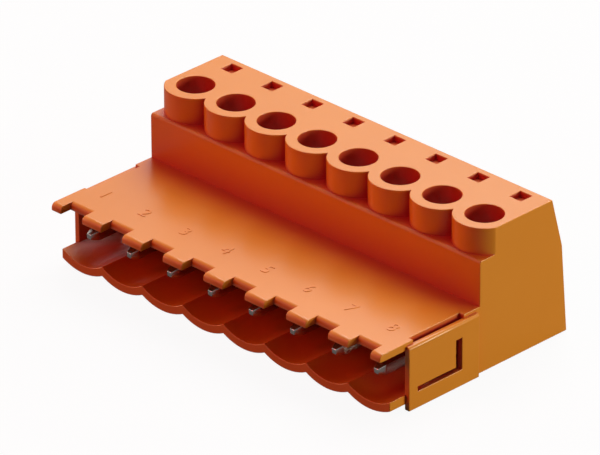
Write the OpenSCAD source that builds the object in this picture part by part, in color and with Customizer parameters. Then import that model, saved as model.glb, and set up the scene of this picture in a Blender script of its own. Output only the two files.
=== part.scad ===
// Eight-pole pluggable terminal block: a screw clamp for one wire at each pole, whose contacts end
// as square pins in an open shroud that a mating socket strip slides into.
// X runs along the row of poles, -Y is the mating side, +Y is the wire side, +Z is up.
// Y positions in the code count back from the tips of the front tabs.

/* [Row] */
// Number of poles
poles = 8; // [2:1:16]
// Distance from one pole to the next
pitch = 5.08; // [5:0.01:7.62]
// Wall between two neighbouring clamp chambers
chamber_wall = 0.9; // [0.7:0.05:1.2]

/* [Clamp body] */
// Height of the whole block
body_height = 13.6; // [12.6:0.1:20]
// Depth of the clamp body at its foot, from the front wall to the wire face
body_depth = 11.1; // [10.4:0.1:16]
// Height of the ledge that the screw towers stand on
ledge_height = 11; // [10:0.1:12]
// Outside radius of a screw tower
tower_r = 2.85; // [2.6:0.05:3.4]
// How far the front of a tower stands back from the front wall
tower_setback = 0.35; // [0.1:0.05:1]
// How far the wire face leans in at the top, measured from the foot
lean_top = 2; // [0:0.1:2.6]
// How far the wire face leans in at its break
lean_break = 0.7; // [0:0.1:1.2]
// Height of the break in the wire face
break_height = 8.7; // [7.4:0.1:9.6]
// Side of the square marker pocket behind each screw
pocket_w = 1.4; // [1:0.1:1.8]
// Depth of the marker pocket
pocket_depth = 0.6; // [0.3:0.1:1]
// Distance from the screw's axis back to the middle of the marker pocket
pocket_offset = 4.55; // [4:0.05:4.6]

/* [Shroud] */
// Length of the shroud's end arms, from their front edge to the clamp body
arm_length = 9.2; // [8:0.1:12]
// Thickness of an end arm
arm_t = 0.55; // [0.5:0.05:1]
// How far an end arm stands out from the side of the clamp body
arm_out = 0.4; // [0.05:0.05:0.5]
// Distance from the back end of an arm's outer face to the clamp body's front wall
arm_stop = 0.45; // [0:0.05:1]
// Height of the end arms
arm_height = 6.25; // [5.9:0.05:6.6]
// Radius of the rounded outer edge along the top of an arm
arm_round = 0.3; // [0.1:0.05:0.5]
// How far the top and bottom of the shroud reach in front of the arms
lip_reach = 2; // [1.5:0.1:3]
// Height of the shroud's top face
shroud_height = 6.6; // [6.3:0.1:8]
// Thickness of the shroud's top
top_t = 0.75; // [0.6:0.05:1]
// Width of the groove between the top and an arm
groove_w = 0.4; // [0.3:0.05:0.8]
// Distance from the groove's back end to the clamp body
groove_back = 2; // [1:0.1:3]
// Width of a front tab
tab_w = 2.4; // [1.6:0.1:3]
// How far a tab reaches in front of the shroud's top
tab_reach = 1.2; // [0.6:0.1:2]
// Radius of the rounded front edge of the top and its tabs
nose_r = 0.45; // [0.2:0.05:0.55]
// Depth of the ears that join the shroud's top to the front ends of the arms
ear_depth = 2.9; // [2.4:0.1:3.6]
// Thickness of the scalloped bottom
bottom_t = 0.8; // [0.6:0.05:1]
// Height of the cusps between two scallops
scallop_rise = 0.63; // [0.4:0.01:0.8]
// Width of the upright part of the slit in each arm
slit_w = 0.75; // [0.4:0.05:0.9]
// Height of the slit's part along the foot of the arm
slit_h = 0.45; // [0.3:0.05:0.6]
// Distance from the arm's front edge to the slit
slit_front = 1.1; // [0.6:0.1:1.5]
// Distance from the slit's upright part to the clamp body
slit_back = 2.6; // [1:0.1:3]
// Height of the slit above the base
slit_low = 1.6; // [1:0.05:2]
// Height of the slit's upper end
slit_high = 4.7; // [3.6:0.1:5]

/* [Wire entry] */
// Width of the wire entry
entry_w = 2.4; // [2:0.1:2.4]
// Width of the funnel's mouth
mouth_w = 3.9; // [3.2:0.1:4.2]
// Depth of the funnel
mouth_depth = 1.6; // [0.8:0.1:2.4]

/* [Clamp] */
// Thickness of the housing's floor under the clamps
floor_t = 0.7; // [0.6:0.05:1]
// Height of the open clamp, from the cage's foot to the contact bar
clamp_gap = 2.6; // [2.2:0.05:3]
// Height left when the clamp is closed on no wire
closed_gap = 0.35; // [0.2:0.05:0.6]
// Thickness of the steel strip of the cage
cage_t = 0.75; // [0.6:0.05:0.9]
// Thickness of the folded, threaded top of the cage
cage_top_t = 1.3; // [1:0.05:1.6]
// Depth of the cage along the wire
cage_depth = 3.4; // [3:0.1:3.8]
// Outside diameter of the screw's thread
thread_d = 2.5; // [2:0.1:3]
// Diameter of the screw's head
head_d = 4; // [3.6:0.05:4.1]
// Height of the screw's head
head_h = 1.5; // [1.2:0.1:2]
// Width of the screwdriver slot
slot_w = 0.7; // [0.5:0.05:1]
// Depth of the screwdriver slot
slot_depth = 0.8; // [0.5:0.05:1]
// Diameter of the screwdriver's way in, which keeps the head from coming out
driver_d = 3.5; // [3.2:0.05:3.9]
// Thickness of the shoulder under the screw's head
shoulder_t = 0.7; // [0.5:0.05:1]

/* [Contact] */
// Thickness of the contact's metal, and side of its square pin
strip_t = 1; // [0.8:0.05:1.2]
// How far the pin's tip stands back from the front edge of the shroud's top
pin_setback = 0.9; // [0.4:0.1:2]
// Length of the pin's tapered point
point_length = 0.8; // [0.4:0.1:1.2]
// Width of the contact bar
bar_w = 2.1; // [1.6:0.1:2.2]
// Thickness of the web of plastic that grips each pin
pin_wall = 0.5; // [0.4:0.05:1]
// Length of the contact bar's seat behind the clamp chamber
bar_seat = 1.2; // [0.8:0.1:2]
// Side of the pin's blunt tip
point_w = 0.5; // [0.3:0.05:0.7]

/* [Clearances] */
// Gap between the cage and its chamber on every side
cage_gap = 0.1; // [0.05:0.01:0.2]
// Gap between the contact bar and the screw's tip
tip_gap = 0.05; // [0.02:0.01:0.1]
// Gap round the screw's head
head_gap = 0.1; // [0.05:0.01:0.15]
// Gap round the screw's shank where it passes the shoulder
shank_gap = 0.15; // [0.1:0.01:0.3]
// Gap between the screw's thread and the cage
thread_gap = 0.04; // [0.02:0.01:0.1]
// Gap between the contact bar and the top of the open cage
bar_gap = 0.15; // [0.1:0.01:0.3]

/* [Hidden] */
// How far a cut runs past the face it opens
over = 1;
// Facets of a round surface
fine = 64;

// Places along X, from the middle of the row
row_w = poles * pitch;
function pole_x(n) = (n - (poles + 1) / 2) * pitch;

// Places along Y, counted back from the tips of the front tabs
lip_y = tab_reach;
arm_y = lip_y + lip_reach;
wall_y = arm_y + arm_length;
screw_y = wall_y + tower_setback + tower_r;
back_y = wall_y + body_depth;
deck_y = back_y - lean_top;
chamber_front = screw_y - cage_depth / 2 - cage_gap;
chamber_back = screw_y + cage_depth / 2 + cage_gap;
web_y = chamber_front - strip_t;
pin_wall_y = web_y - pin_wall;
pin_tip_y = lip_y + pin_setback;
bar_end = chamber_back + bar_seat;

// Places along Z, from the base
cavity_top = shroud_height - top_t;
pin_z = (bottom_t + cavity_top) / 2;
cage_z = floor_t + cage_gap;
entry_z = cage_z + cage_t;
bar_z = entry_z + clamp_gap;
bar_top = bar_z + strip_t;
cage_lift = clamp_gap - closed_gap;
cage_h = cage_t + clamp_gap + strip_t + bar_gap + cage_top_t;
chamber_top = cage_z + cage_h + cage_lift + cage_gap;
head_z = chamber_top + shoulder_t;
tip_z = bar_top + tip_gap;

// Outer face of an end arm, from the middle of the row
arm_x = row_w / 2 + arm_out;

// Widths of what stands inside the chambers
chamber_w = pitch - chamber_wall;
cage_w = chamber_w - 2 * cage_gap;

// A scallop is an arc through two cusps and the base below its pole
scallop_r = (pow(pitch / 2, 2) + pow(scallop_rise, 2)) / (2 * scallop_rise);

// Puts a shape drawn with Y counted from the tab tips where the block's middle is the origin
module place() {
    translate([0, -back_y / 2, 0]) children();
}

// Extrudes an outline drawn in Y and Z along X, centred on x
module along_row(width, x = 0) {
    translate([x - width / 2, 0, 0])
        rotate([90, 0, 90])
            linear_extrude(width) children();
}

// ---- housing ----

// Side outline of the clamp body, up to the height of the ledge or of the towers
module body_outline(front, top) {
    polygon([
        [front, 0],
        [back_y, 0],
        [back_y - lean_break, break_height],
        [deck_y, top],
        [front, top]
    ]);
}

// The wire face keeps its lean below the ledge: the low block is the outline cut off at the ledge
module low_block() {
    along_row(row_w) intersection() {
        body_outline(wall_y, body_height);
        square([back_y, ledge_height]);
    }
}

// Deck behind the screws, with a round tower front at each pole
module tower_row() {
    along_row(row_w) body_outline(screw_y, body_height);
    intersection() {
        for (n = [1 : poles])
            translate([pole_x(n), screw_y, 0])
                cylinder(h = body_height, r = tower_r, $fn = fine);
        translate([-row_w / 2, 0, floor_t])
            cube([row_w, screw_y, body_height]);
    }
}

// Outline of the shroud's top in Y and Z, with its rounded front edge
module top_outline(front, back) {
    difference() {
        translate([front, cavity_top]) square([back - front, top_t]);
        translate([front, shroud_height - nose_r]) difference() {
            translate([-over, 0]) square([nose_r + over, nose_r + over]);
            translate([nose_r, 0]) circle(r = nose_r, $fn = fine);
        }
    }
}

module shroud_top() {
    along_row(2 * (arm_x - arm_t - groove_w)) top_outline(lip_y, wall_y + over);
    along_row(row_w) top_outline(lip_y, lip_y + ear_depth);
    along_row(row_w) translate([wall_y - groove_back, cavity_top])
        square([groove_back + over, top_t]);
    for (n = [0 : poles]) {
        middle = pole_x(n) + pitch / 2;
        left = max(middle - tab_w / 2, -row_w / 2);
        right = min(middle + tab_w / 2, row_w / 2);
        along_row(right - left, (left + right) / 2)
            top_outline(0, lip_y + ear_depth);
    }
}

// Bottom of the shroud: a row of arched shells, one under each pole
module shroud_bottom() {
    for (n = [1 : poles])
        translate([pole_x(n), wall_y + over, scallop_r])
            rotate([90, 0, 0])
                linear_extrude(wall_y + over - lip_y) difference() {
                    intersection() {
                        circle(r = scallop_r, $fn = 2 * fine);
                        translate([-pitch / 2, -scallop_r])
                            square([pitch, scallop_rise + bottom_t * 2]);
                    }
                    circle(r = scallop_r - bottom_t, $fn = 2 * fine);
                }
}

// Outline of the right arm in X and Z, with its rounded outer edge
module arm_outline() {
    difference() {
        translate([arm_x - arm_t, 0]) square([arm_t, arm_height]);
        translate([arm_x - arm_round, arm_height - arm_round]) difference() {
            square(arm_round + over);
            circle(r = arm_round, $fn = fine);
        }
    }
}

// End arms of the shroud, each with the slit that frees its spring tongue
module arms() {
    upright_y = wall_y - slit_back - slit_w;
    for (flip = [0, 1])
        mirror([flip, 0, 0]) difference() {
            translate([0, wall_y + over, 0]) rotate([90, 0, 0])
                linear_extrude(arm_length + over) arm_outline();
            translate([row_w / 2, wall_y - arm_stop, -over])
                cube([arm_out + over, arm_stop + 2 * over, body_height]);
            along_row(4 * arm_t, arm_x) {
                translate([upright_y, slit_low])
                    square([slit_w, slit_high - slit_low]);
                translate([arm_y + slit_front, slit_low])
                    square([upright_y - arm_y - slit_front + slit_w, slit_h]);
            }
        }
}

// Wall at the back of the shroud that holds the pins
module back_of_shroud() {
    translate([-row_w / 2, pin_wall_y, scallop_rise])
        cube([row_w, wall_y + over - pin_wall_y, shroud_height - scallop_rise]);
}

// Everything that is cut out of the clamp body at one pole
module clamp_space() {
    translate([-chamber_w / 2, chamber_front, floor_t])
        cube([chamber_w, chamber_back - chamber_front, chamber_top - floor_t]);
    screw_way();
    translate([-pocket_w / 2, screw_y + pocket_offset - pocket_w / 2, body_height - pocket_depth])
        cube([pocket_w, pocket_w, pocket_depth + over]);
    wire_entry();
    contact_seat();
}

// The shank's hole through the shoulder, the room for the head, and the screwdriver's way in
module screw_way() {
    translate([0, screw_y, chamber_top - over])
        cylinder(h = shoulder_t + 2 * over, d = thread_d + 2 * shank_gap, $fn = fine);
    translate([0, screw_y, head_z])
        cylinder(h = head_h + head_gap, d = head_d + 2 * head_gap, $fn = fine);
    translate([0, screw_y, head_z])
        cylinder(h = body_height + over - head_z, d = driver_d, $fn = fine);
}

// Square way in for the wire, with a funnel at the wire face
module wire_entry() {
    run = mouth_depth + over;
    grow = (mouth_w - entry_w) / 2 * run / mouth_depth;
    mouth_y = back_y - mouth_depth;
    translate([-entry_w / 2, chamber_back - over, entry_z])
        cube([entry_w, back_y - chamber_back + over, clamp_gap]);
    intersection() {
        along_row(2 * mouth_w) polygon([
            [mouth_y, entry_z],
            [mouth_y + run, entry_z - grow],
            [mouth_y + run, entry_z + clamp_gap + grow],
            [mouth_y, entry_z + clamp_gap]
        ]);
        translate([0, 0, -over]) linear_extrude(body_height) polygon([
            [-entry_w / 2, mouth_y],
            [-entry_w / 2 - grow, mouth_y + run],
            [entry_w / 2 + grow, mouth_y + run],
            [entry_w / 2, mouth_y]
        ]);
    }
}

// The contact's place: a square hole for the pin, a slot for the web behind it, and the bar's seat
module contact_seat() {
    pin_low = pin_z - strip_t / 2;
    translate([-strip_t / 2, pin_wall_y - over, pin_low])
        cube([strip_t, pin_wall + over + strip_t, strip_t]);
    translate([-bar_w / 2, web_y, pin_low])
        cube([bar_w, strip_t + over, bar_top - pin_low]);
    translate([-bar_w / 2, chamber_back - over, bar_z])
        cube([bar_w, bar_seat + over, strip_t]);
}

module housing() {
    color([0.88, 0.5, 0.2]) place() difference() {
        union() {
            low_block();
            tower_row();
            shroud_top();
            shroud_bottom();
            arms();
            back_of_shroud();
        }
        for (n = [1 : poles])
            translate([pole_x(n), 0, 0]) clamp_space();
    }
}

// ---- clamp screw ----

// Slotted screw whose head turns on the shoulder and whose tip bears on the contact bar
module clamp_screw(n) {
    point = thread_d / 8;
    color([0.78, 0.78, 0.74]) place() translate([pole_x(n), screw_y, 0]) {
        difference() {
            translate([0, 0, head_z]) cylinder(h = head_h, d = head_d, $fn = fine);
            translate([-head_d, -slot_w / 2, head_z + head_h - slot_depth])
                cube([2 * head_d, slot_w, slot_depth + over]);
        }
        translate([0, 0, tip_z + point])
            cylinder(h = head_z - tip_z - point, d = thread_d, $fn = fine);
        translate([0, 0, tip_z])
            cylinder(h = point, d1 = thread_d - 2 * point, d2 = thread_d, $fn = fine);
    }
}

// ---- clamp cage ----

// Outline of the bent strip in X and Z, with its foot at zero
module cage_outline() {
    bend = cage_t * 0.8;
    difference() {
        union() {
            translate([-cage_w / 2, bend]) square([cage_w, cage_h - 2 * bend]);
            translate([-cage_w / 2 + bend, 0]) square([cage_w - 2 * bend, cage_h]);
            for (x = [-1, 1], z = [bend, cage_h - bend])
                translate([x * (cage_w / 2 - bend), z]) circle(r = bend, $fn = fine);
        }
        window_w = cage_w - 2 * cage_t;
        translate([-window_w / 2, cage_t])
            square([window_w, cage_h - cage_t - cage_top_t]);
    }
}

// Steel cage that climbs the screw and pulls the wire up against the contact bar
module clamp_cage(n) {
    teeth = 4;
    tooth_h = 0.15;
    tooth_pitch = cage_depth / (teeth + 1);
    color([0.72, 0.74, 0.76]) place() translate([pole_x(n), screw_y, cage_z]) {
        difference() {
            translate([0, cage_depth / 2, 0]) rotate([90, 0, 0])
                linear_extrude(cage_depth) cage_outline();
            translate([0, 0, cage_h - cage_top_t - over])
                cylinder(h = cage_top_t + 2 * over, d = thread_d + 2 * thread_gap, $fn = fine);
        }
        for (k = [1 : teeth])
            along_row(cage_w - 2 * cage_t) polygon([
                [k * tooth_pitch - cage_depth / 2 - tooth_h, cage_t],
                [k * tooth_pitch - cage_depth / 2, cage_t + tooth_h],
                [k * tooth_pitch - cage_depth / 2 + tooth_h, cage_t]
            ]);
    }
}

// ---- pin contact ----

// Contact bar that the wire is clamped against, stepped down to a square pin with a tapered point
module pin_contact(n) {
    pin_low = pin_z - strip_t / 2;
    pin_length = web_y - pin_tip_y + strip_t / 2;
    color([0.83, 0.82, 0.78]) place() translate([pole_x(n), 0, 0]) {
        along_row(bar_w) polygon([
            [web_y, pin_low],
            [web_y + strip_t, pin_low],
            [web_y + strip_t, bar_z],
            [bar_end, bar_z],
            [bar_end, bar_top],
            [web_y, bar_top]
        ]);
        intersection() {
            translate([0, 0, pin_z]) along_row(2 * strip_t) pin_outline(pin_length);
            translate([0, 0, pin_low - over]) linear_extrude(strip_t + 2 * over)
                mirror([1, 0, 0]) rotate(90) pin_outline(pin_length);
        }
    }
}

// Outline of the pin along Y, centred on its axis
module pin_outline(length) {
    polygon([
        [pin_tip_y, -point_w / 2],
        [pin_tip_y + point_length, -strip_t / 2],
        [pin_tip_y + length, -strip_t / 2],
        [pin_tip_y + length, strip_t / 2],
        [pin_tip_y + point_length, strip_t / 2],
        [pin_tip_y, point_w / 2]
    ]);
}

housing();
for (n = [1 : poles]) {
    clamp_screw(n);
    clamp_cage(n);
    pin_contact(n);
}
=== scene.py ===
import math

import bmesh
import bpy
from mathutils import Matrix, Vector


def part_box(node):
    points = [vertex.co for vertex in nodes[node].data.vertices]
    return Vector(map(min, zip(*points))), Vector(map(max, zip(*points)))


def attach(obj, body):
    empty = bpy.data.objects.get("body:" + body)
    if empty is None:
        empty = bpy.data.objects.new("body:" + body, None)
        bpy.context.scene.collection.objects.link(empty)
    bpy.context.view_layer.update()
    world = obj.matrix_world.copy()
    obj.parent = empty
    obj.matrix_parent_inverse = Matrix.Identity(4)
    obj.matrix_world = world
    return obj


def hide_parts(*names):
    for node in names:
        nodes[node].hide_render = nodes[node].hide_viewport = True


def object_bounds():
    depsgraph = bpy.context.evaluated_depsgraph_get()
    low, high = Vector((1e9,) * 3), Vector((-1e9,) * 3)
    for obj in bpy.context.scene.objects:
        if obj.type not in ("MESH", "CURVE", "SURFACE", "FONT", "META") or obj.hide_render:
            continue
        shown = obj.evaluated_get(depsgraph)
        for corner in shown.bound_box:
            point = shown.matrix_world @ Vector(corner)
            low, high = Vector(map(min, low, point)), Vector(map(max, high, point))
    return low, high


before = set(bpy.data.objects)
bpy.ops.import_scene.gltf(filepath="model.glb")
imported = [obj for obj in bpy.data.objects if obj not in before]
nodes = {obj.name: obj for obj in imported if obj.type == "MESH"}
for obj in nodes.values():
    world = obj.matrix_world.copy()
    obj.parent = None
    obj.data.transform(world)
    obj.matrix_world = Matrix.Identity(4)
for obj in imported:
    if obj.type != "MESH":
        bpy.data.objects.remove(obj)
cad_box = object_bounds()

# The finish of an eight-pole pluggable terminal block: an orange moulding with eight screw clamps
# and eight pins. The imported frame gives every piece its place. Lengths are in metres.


# ---- Studio ----
# A long lens high over the block's front right corner, a pale floor, and soft lamps. The strong
# lamp stands high behind the block, and two weak tinted ones redden the sides that lie in its shade.

MM = 0.001
azimuth, elevation, roll = math.radians(44.78), math.radians(27.72), math.radians(-0.26)
distance = 703.3 * MM
aim = Vector((-0.56, -0.36, 7.07)) * MM
to_camera = Vector((math.sin(azimuth) * math.cos(elevation),
                    -math.cos(azimuth) * math.cos(elevation),
                    math.sin(elevation)))
facing = (-to_camera).to_track_quat("-Z", "Y")
camera_data = bpy.data.cameras.new("camera")
camera_data.sensor_width = 36
camera_data.lens = 479.4
camera_data.clip_start, camera_data.clip_end = 0.05, 20
camera = bpy.data.objects.new("camera", camera_data)
camera.rotation_mode = "QUATERNION"
camera.rotation_quaternion = facing @ Matrix.Rotation(roll, 3, "Z").to_quaternion()
camera.location = aim + to_camera * distance
bpy.context.scene.collection.objects.link(camera)
bpy.context.scene.camera = camera
bpy.context.scene.view_settings.view_transform = "Standard"


def add_lamp(name, place, size, power, colour):
    """A square soft lamp that faces the block's middle."""
    lamp = bpy.data.lights.new(name, "AREA")
    lamp.size, lamp.energy, lamp.color = size, power, colour
    holder = bpy.data.objects.new(name, lamp)
    holder.location = place
    holder.rotation_mode = "QUATERNION"
    holder.rotation_quaternion = (aim - Vector(place)).to_track_quat("-Z", "Y")
    bpy.context.scene.collection.objects.link(holder)


add_lamp("lamp_behind", (-0.12, 0.30, 0.46), 0.45, 2.9, (1, 1, 1))
add_lamp("lamp_right", (0.36, 0.21, 0.05), 0.14, 1.2, (1, 0.96, 0.78))
add_lamp("lamp_left", (-0.40, -0.10, 0.06), 0.12, 0.4, (1, 0.5, 0.25))
add_lamp("lamp_front", (-0.10, -0.25, 0.19), 0.15, 0.34, (1, 0.09, 0.10))


class Signal:
    """A socket that gives a value in a node tree, or the bare tree to start from.

    Sums and products of signals add the Math nodes they need.
    """

    def __init__(self, tree, socket=None):
        self.tree, self.socket = tree, socket

    def node(self, kind, settings=None, sockets=None, output=0):
        """Adds a node of any kind: its settings first, then what its sockets hold."""
        made = self.tree.nodes.new(kind)
        for name, value in (settings or {}).items():
            setattr(made, name, value)
        for name, value in (sockets or {}).items():
            socket = made.inputs[name]
            if isinstance(value, Signal):
                self.tree.links.new(value.socket, socket)
            else:
                socket.default_value = (*value, 1) if socket.type == "RGBA" else value
        return Signal(self.tree, made.outputs[output] if made.outputs else None)

    def between(self, first, second):
        """A colour that goes from the first to the second as this signal goes from 0 to 1."""
        return self.node("ShaderNodeMix", {"data_type": "RGBA"},
                         {0: self, 6: first, 7: second}, output=2)

    def math(self, operation, *terms):
        return self.node("ShaderNodeMath", {"operation": operation}, dict(enumerate(terms)))

    def __add__(self, other):
        return self.math("ADD", self, other)

    def __mul__(self, other):
        return self.math("MULTIPLY", self, other)

    __radd__, __rmul__ = __add__, __mul__


def ray_kinds(signal):
    """What tells a ray of the camera's own from one that comes by way of a shiny or a clear surface."""
    camera_ray = signal.node("ShaderNodeLightPath", output="Is Camera Ray")
    glossy_ray = signal.node("ShaderNodeLightPath", output="Is Glossy Ray")
    clear_ray = signal.node("ShaderNodeLightPath", output="Is Transmission Ray")
    return camera_ray, glossy_ray + clear_ray


room_fill, room_shine = 0.03, 0.75  # what the room lends to all light, and what shiny surfaces add
world = bpy.data.worlds.new("studio")
world.use_nodes = True
world.node_tree.nodes.clear()
sky = Signal(world.node_tree)
camera_ray, shiny_ray = ray_kinds(sky)
strength = room_fill + (1 - room_fill) * camera_ray + room_shine * shiny_ray
room = sky.node("ShaderNodeBackground", None, {"Color": (1, 1, 1), "Strength": strength})
sky.node("ShaderNodeOutputWorld", None, {"Surface": room})
bpy.context.scene.world = world

floor_half, floor_gap = 1.5, 0.02 * MM
floor_tone, floor_tone_seen = 0.12, 0.8  # the second is added for the camera's own rays
floor_glow_seen, floor_glow_shiny = 0.93, 0.15  # how much of the floor is plain white to each kind of ray
floor_mesh = bpy.data.meshes.new("floor")
sheet = bmesh.new()
bmesh.ops.create_grid(sheet, x_segments=1, y_segments=1, size=floor_half)
sheet.to_mesh(floor_mesh)
sheet.free()
floor = bpy.data.objects.new("floor", floor_mesh)
floor.location.z = cad_box[0].z - floor_gap
bpy.context.scene.collection.objects.link(floor)
floor_finish = bpy.data.materials.new("pale_floor")
floor_finish.use_nodes = True
floor_finish.node_tree.nodes.clear()
ground = Signal(floor_finish.node_tree)
camera_ray, shiny_ray = ray_kinds(ground)
tone = floor_tone + floor_tone_seen * camera_ray
glow = floor_glow_seen * camera_ray + floor_glow_shiny * shiny_ray
shaded = ground.node("ShaderNodeBsdfDiffuse", None, {"Color": tone})
white = ground.node("ShaderNodeEmission", None, {"Color": (1, 1, 1), "Strength": 1})
both = ground.node("ShaderNodeMixShader", None, {0: glow, 1: shaded, 2: white})
ground.node("ShaderNodeOutputMaterial", None, {"Surface": both})
floor_mesh.materials.append(floor_finish)


# ---- Housing ----
# One injection moulding in orange polyester, with the fine satin skin of a spark-eroded mould.
# Its outer edges have the small round that the mould leaves, and the wall's top edge a larger one.

outer_round, wall_top_round = 0.07 * MM, 0.28 * MM
ledge_z = 11 * MM
foot_y = 0.65 * MM  # the scallops run into the foot here, so this edge stays sharp
edge_angle = math.radians(10.1)  # facets of the round surfaces meet at less than this
flat_angle = math.radians(0.5)  # triangles that meet at less than this are one flat face
near, merge_gap = 0.01 * MM, 0.0005 * MM
light_orange, strong_orange = (0.86, 0.30, 0.013), (0.82, 0.275, 0.010)
# painted shade: the deeper red that the plastic's colour turns to in recesses, where shade falls
painted_shade_red = (0.56, 0.04, 0.03)
plastic_roughness, plastic_unevenness = 0.26, 0.08
painted_shade_reach = 6 * MM


def joined_copy(name):
    """A copy of a CAD mesh whose loose triangles are joined into whole flat faces."""
    copy = bmesh.new()
    copy.from_mesh(nodes[name].data)
    bmesh.ops.remove_doubles(copy, verts=copy.verts, dist=merge_gap)
    bmesh.ops.dissolve_limit(copy, angle_limit=flat_angle, verts=copy.verts, edges=copy.edges)
    return copy


def round_edges(mesh, edges, radius, segments, clamp=False):
    bmesh.ops.bevel(mesh, geom=edges, offset=radius, offset_type="OFFSET", segments=segments, profile=0.5,
                    affect="EDGES", clamp_overlap=clamp, material=-1)


def lies_along(edge, y, z):
    """Whether an edge runs along the row of poles at this depth and height."""
    return all(abs(v.co.y - y) < near and abs(v.co.z - z) < near for v in edge.verts)


def moulded_plastic():
    """Orange plastic: a little uneven, satin, with a fine grain, and painted shade: its colour turns a
    deeper red where it is enclosed, where shade falls.
    """
    material = bpy.data.materials.new("orange_polyester")
    material.use_nodes = True
    material.node_tree.nodes.clear()
    paint = Signal(material.node_tree)
    place = paint.node("ShaderNodeTexCoord", output="Object")
    clouds = paint.node("ShaderNodeTexNoise", None, {"Vector": place, "Scale": 160, "Detail": 3})
    grain = paint.node("ShaderNodeTexNoise", None, {"Vector": place, "Scale": 7000, "Detail": 2})
    orange = clouds.between(strong_orange, light_orange)
    # Painted shade: an occlusion mask turns the colour a deeper red where the piece encloses itself.
    openness = paint.node("ShaderNodeAmbientOcclusion", {"samples": 8, "only_local": True},
                          {"Distance": painted_shade_reach}, output="AO")
    unshaded_share = paint.node("ShaderNodeMapRange", None, {"Value": openness, "From Min": 0.4, "From Max": 0.9})
    colour = unshaded_share.between(painted_shade_red, orange)
    relief = paint.node("ShaderNodeBump", None, {"Strength": 0.25, "Distance": 0.012 * MM, "Height": grain})
    roughness = plastic_roughness + plastic_unevenness * clouds
    surface = paint.node("ShaderNodeBsdfPrincipled", None, {
        "Base Color": colour, "Roughness": roughness, "IOR": 1.5, "Normal": relief})
    paint.node("ShaderNodeOutputMaterial", None, {"Surface": surface})
    return material


orange_polyester = moulded_plastic()
moulding = joined_copy("housing")
wall_y = min(v.co.y for v in moulding.verts if v.co.z > ledge_z - near)
wall_top = [e for e in moulding.edges if lies_along(e, wall_y, ledge_z)]
round_edges(moulding, wall_top, wall_top_round, segments=5)
outer_edges = [e for e in moulding.edges
               if e.calc_face_angle_signed(0) > edge_angle and not lies_along(e, foot_y, 0)]
round_edges(moulding, outer_edges, outer_round, segments=2)
for face in moulding.faces:
    face.smooth = True
for edge in moulding.edges:
    edge.smooth = edge.calc_face_angle_signed(0) > -edge_angle
moulding_mesh = bpy.data.meshes.new("orange_housing")
moulding.to_mesh(moulding_mesh)
moulding.free()
moulding_mesh.materials.append(orange_polyester)
orange_housing = bpy.data.objects.new("orange_housing", moulding_mesh)
bpy.context.scene.collection.objects.link(orange_housing)
shading = orange_housing.modifiers.new("shading", "WEIGHTED_NORMAL")
shading.mode, shading.weight, shading.keep_sharp = "FACE_AREA", 100, True
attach(orange_housing, "housing")
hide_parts("housing")


# ---- Pole numbers ----
# Plain figures from 1 to 8, one in front of each screw, that tell the poles apart.
# They are moulded with the housing and stand a little proud of the shroud's top.

poles = range(1, 1 + sum(name.startswith("pin_contact_") for name in nodes))
numeral_h, numeral_rise = 1.35 * MM, 0.05 * MM
figure_share = 0.7  # a figure's height as a share of the font's size
numeral_x, numeral_y = -0.2 * MM, -7.35 * MM
shroud_top_z = 6.6 * MM
for n in poles:
    drawing = bpy.data.curves.new(f"pole_number_{n}", "FONT")
    drawing.body = str(n)
    drawing.size = numeral_h / figure_share
    drawing.align_x, drawing.align_y = "CENTER", "CENTER"
    drawing.extrude = numeral_rise
    drawing.resolution_u = 3
    outline = bpy.data.objects.new(f"pole_number_{n}_outline", drawing)
    bpy.context.scene.collection.objects.link(outline)
    bpy.context.view_layer.update()
    shape = bpy.data.meshes.new_from_object(outline.evaluated_get(bpy.context.evaluated_depsgraph_get()))
    bpy.data.objects.remove(outline)
    figure = bmesh.new()
    figure.from_mesh(shape)
    bmesh.ops.remove_doubles(figure, verts=figure.verts, dist=merge_gap)
    figure.to_mesh(shape)
    figure.free()
    low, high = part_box(f"pin_contact_{n}")
    shape.transform(Matrix.Translation(((low.x + high.x) / 2 + numeral_x, numeral_y, shroud_top_z)))
    shape.materials.clear()
    shape.materials.append(orange_polyester)
    numeral = bpy.data.objects.new(f"pole_number_{n}", shape)
    bpy.context.scene.collection.objects.link(numeral)
    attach(numeral, "housing")


# ---- Clamp screws ----
# Slotted steel screws, zinc plated and passivated a pale yellow, turned and rolled.
# The head is the CAD piece's own; the shank is drawn in to the thread's core and a ridge winds up it.

thread_pitch, thread_depth = 0.45 * MM, 0.23 * MM
crest_gap = 0.03 * MM  # keeps the thread's crests off the sides of the raised cage
crest_half, root_half = 0.06 * thread_pitch, 0.45 * thread_pitch
root_share = 0.97  # the ridge's root lies a little inside the core
tip_turns, neck_turns = 1.5, 0.8  # what stays plain at the tip and under the head
steps_per_turn = 24
rim_share, shank_share = 0.9, 0.8  # of the head's radius: past the first is rim, inside the second shank
head_round, head_angle = 0.1 * MM, math.radians(35)
dulling, metal_unevenness = 0.8, 0.15


def plated_metal(name, tone, roughness):
    """Plated metal with a few dull clouds and fine marks."""
    material = bpy.data.materials.new(name)
    material.use_nodes = True
    material.node_tree.nodes.clear()
    paint = Signal(material.node_tree)
    place = paint.node("ShaderNodeTexCoord", output="Object")
    clouds = paint.node("ShaderNodeTexNoise", None, {"Vector": place, "Scale": 900, "Detail": 4})
    colour = clouds.between(tone, tuple(dulling * c for c in tone))
    relief = paint.node("ShaderNodeBump", None, {"Strength": 0.3, "Distance": 0.01 * MM, "Height": clouds})
    surface = paint.node("ShaderNodeBsdfPrincipled", None, {
        "Base Color": colour, "Metallic": 1.0, "Roughness": roughness + metal_unevenness * clouds,
        "Normal": relief})
    paint.node("ShaderNodeOutputMaterial", None, {"Surface": surface})
    return material


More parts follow.
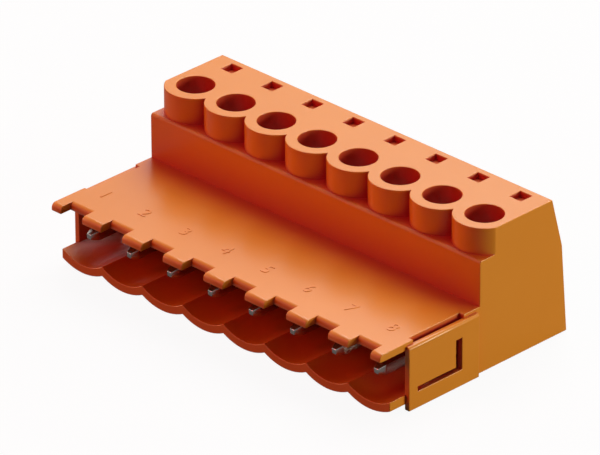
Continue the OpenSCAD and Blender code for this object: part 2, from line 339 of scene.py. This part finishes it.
def threaded_screw(n):
    """A copy of the CAD screw with rounded head edges and a helical ridge round its core."""
    low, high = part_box(f"clamp_screw_{n}")
    head_r = (high.x - low.x) / 2
    axis = Vector(((low.x + high.x) / 2, (low.y + high.y) / 2, 0))
    screw = joined_copy(f"clamp_screw_{n}")
    away = {v: (v.co.xy - axis.xy).length for v in screw.verts}
    under_head = min(v.co.z for v in screw.verts if away[v] > rim_share * head_r)
    shank = [v for v in screw.verts if v.co.z < under_head + near and away[v] < shank_share * head_r]
    shank_r = max(away[v] for v in shank)
    crest_r = shank_r - crest_gap
    core_r = crest_r - thread_depth
    root_r = root_share * core_r
    bmesh.ops.scale(screw, vec=(core_r / shank_r, core_r / shank_r, 1), space=Matrix.Translation(-axis),
                    verts=shank)
    head_edges = [e for e in screw.edges if min(v.co.z for v in e.verts) > under_head - near
                  and e.calc_face_angle(0) > head_angle]
    round_edges(screw, head_edges, head_round, segments=2, clamp=True)
    start = low.z + tip_turns * thread_pitch
    turns = math.floor((under_head - start) / thread_pitch - neck_turns)
    ring = [screw.verts.new((axis.x + r, axis.y, start + z)) for r, z in (
        (root_r, -root_half), (crest_r, -crest_half), (crest_r, crest_half), (root_r, root_half))]
    sides = [screw.edges.new((ring[k], ring[(k + 1) % 4])) for k in range(4)]
    bmesh.ops.spin(screw, geom=ring + sides, cent=axis, axis=(0, 0, 1), angle=turns * math.tau,
                   dvec=(0, 0, thread_pitch / steps_per_turn), steps=turns * steps_per_turn)
    bmesh.ops.holes_fill(screw, edges=[e for e in screw.edges if e.is_boundary], sides=4)
    bmesh.ops.recalc_face_normals(screw, faces=screw.faces)
    for face in screw.faces:
        face.smooth = True
    for edge in screw.edges:
        edge.smooth = edge.calc_face_angle(0) < head_angle
    mesh = bpy.data.meshes.new(f"threaded_screw_{n}")
    screw.to_mesh(mesh)
    screw.free()
    return mesh


screw_zinc = plated_metal("zinc_plate_screw", (0.74, 0.72, 0.64), 0.3)
for n in poles:
    mesh = threaded_screw(n)
    mesh.materials.append(screw_zinc)
    screw = bpy.data.objects.new(f"threaded_screw_{n}", mesh)
    bpy.context.scene.collection.objects.link(screw)
    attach(screw, f"screw_{n}")
    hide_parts(f"clamp_screw_{n}")


# ---- Clamp cages ----
# Bent from zinc-plated steel strip, with a folded and tapped top that the screw turns in.
# Each is loose in its chamber, and its foot lifts the wire against the contact.

cage_round = 0.06 * MM


def finish_with(piece, material, edge_round):
    """Gives a CAD piece its material, joins the loose triangles of its flats and rounds its edges."""
    piece.data.materials.clear()
    piece.data.materials.append(material)
    piece.data.polygons.foreach_set("use_smooth", [True] * len(piece.data.polygons))
    piece.modifiers.new("weld", "WELD").merge_threshold = merge_gap
    flats = piece.modifiers.new("flats", "DECIMATE")
    flats.decimate_type, flats.angle_limit = "DISSOLVE", flat_angle
    rounding = piece.modifiers.new("edge_round", "BEVEL")
    rounding.width, rounding.segments = edge_round, 2
    rounding.limit_method, rounding.angle_limit = "ANGLE", edge_angle
    rounding.use_clamp_overlap = False
    shading = piece.modifiers.new("shading", "WEIGHTED_NORMAL")
    shading.mode, shading.weight = "FACE_AREA", 100


cage_zinc = plated_metal("zinc_plate_cage", (0.62, 0.64, 0.66), 0.38)
for n in poles:
    finish_with(nodes[f"clamp_cage_{n}"], cage_zinc, cage_round)


# ---- Contacts ----
# Stamped from copper alloy and tin plated, and pushed into a seat in the housing.
# A bar inside the clamp, which the wire is pressed against, steps down to a square pin.

contact_round = 0.05 * MM
tin = plated_metal("tin_plate", (0.52, 0.49, 0.45), 0.14)
for n in poles:
    finish_with(nodes[f"pin_contact_{n}"], tin, contact_round)
